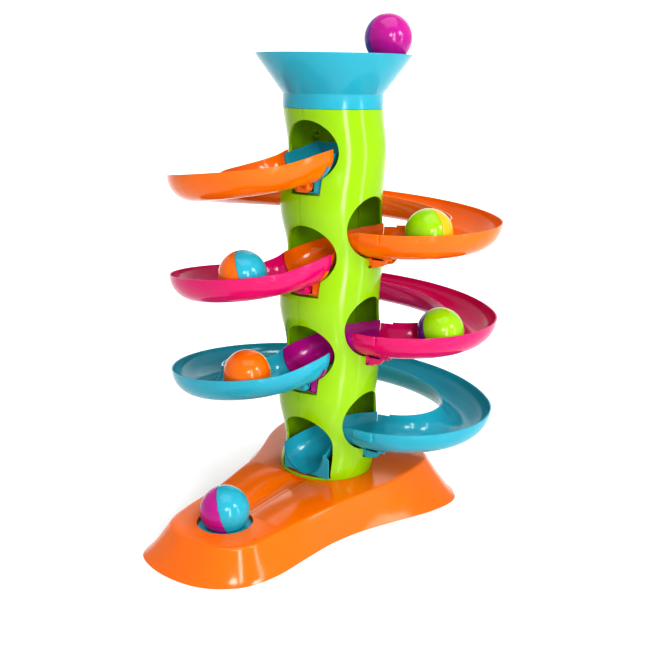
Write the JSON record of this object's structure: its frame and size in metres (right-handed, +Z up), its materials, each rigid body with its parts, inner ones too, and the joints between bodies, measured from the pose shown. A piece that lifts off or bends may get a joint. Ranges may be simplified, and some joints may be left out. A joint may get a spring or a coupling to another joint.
{
  "type": "marble run",
  "caption": "Toddler ball run: a funnel on a wavy hollow tower, looping ramps joined by chutes inside it, and a base with a track and a socket.",
  "frame": {"origin": "middle of the tower foot, on the floor that the base stands on", "axes": "+Z up the tower; -Y along the base track to the socket; +X out of the holes that the ramps end at"},
  "size_m": [0.3424, 0.4418, 0.5297],
  "materials": {
    "lime": "gloss",
    "sky": "gloss",
    "orange": "gloss",
    "pink": "gloss",
    "magenta": "gloss",
    "purple": "gloss",
    "yellow": "gloss"
  },
  "bodies": {
    "frame": {"base": "orange", "catch_cup": "sky", "tower_left_half": "lime", "tower_right_half": "lime", "funnel": "sky", "entry_chute": "sky", "orange_chute": "orange", "magenta_chute": "magenta", "exit_chute": "sky", "orange_ramp": "orange", "pink_ramp": "pink", "blue_ramp": "sky"},
    "funnel_ball": {"funnel_ball_first_half": "purple", "funnel_ball_second_half": "pink"},
    "orange_ramp_ball": {"orange_ramp_ball_first_half": "lime", "orange_ramp_ball_second_half": "yellow"},
    "pink_ramp_start_ball": {"pink_ramp_start_ball_first_half": "orange", "pink_ramp_start_ball_second_half": "sky"},
    "pink_ramp_end_ball": {"pink_ramp_end_ball_first_half": "purple", "pink_ramp_end_ball_second_half": "lime"},
    "blue_ramp_ball": {"blue_ramp_ball_first_half": "orange", "blue_ramp_ball_second_half": "yellow"},
    "base_ball": {"base_ball_first_half": "pink", "base_ball_second_half": "sky"}
  },
  "joints": [
    {"name": "funnel_ball_swirl", "type": "hinge", "parent": "frame", "child": "funnel_ball", "pos_m": [0, 0, 0.5053], "axis": [0, 0, -1], "continuous": true},
    {"name": "orange_ramp_roll", "type": "hinge", "parent": "frame", "child": "orange_ramp_ball", "pos_m": [0.0539, 0.07277, 0.31344], "axis": [0.0165, 0.0175, -0.9997], "range_deg": [-30, 30]},
    {"name": "pink_ramp_start_roll", "type": "hinge", "parent": "frame", "child": "pink_ramp_start_ball", "pos_m": [-0.06573, -0.044, 0.27059], "axis": [0.1429, 0.0752, -0.9869], "range_deg": [-20, 38]},
    {"name": "pink_ramp_end_roll", "type": "hinge", "parent": "frame", "child": "pink_ramp_end_ball", "pos_m": [0.0539, 0.07277, 0.20833], "axis": [0.013, 0.0239, -0.9996], "range_deg": [-30, 44]},
    {"name": "blue_ramp_roll", "type": "hinge", "parent": "frame", "child": "blue_ramp_ball", "pos_m": [-0.06573, -0.044, 0.16562], "axis": [0.139, 0.0838, -0.9867], "range_deg": [-18, 40]},
    {"name": "base_ball_lift", "type": "slide", "parent": "frame", "child": "base_ball", "axis": [0, 0, 1], "range_m": [0, 0.08]}
  ]
}
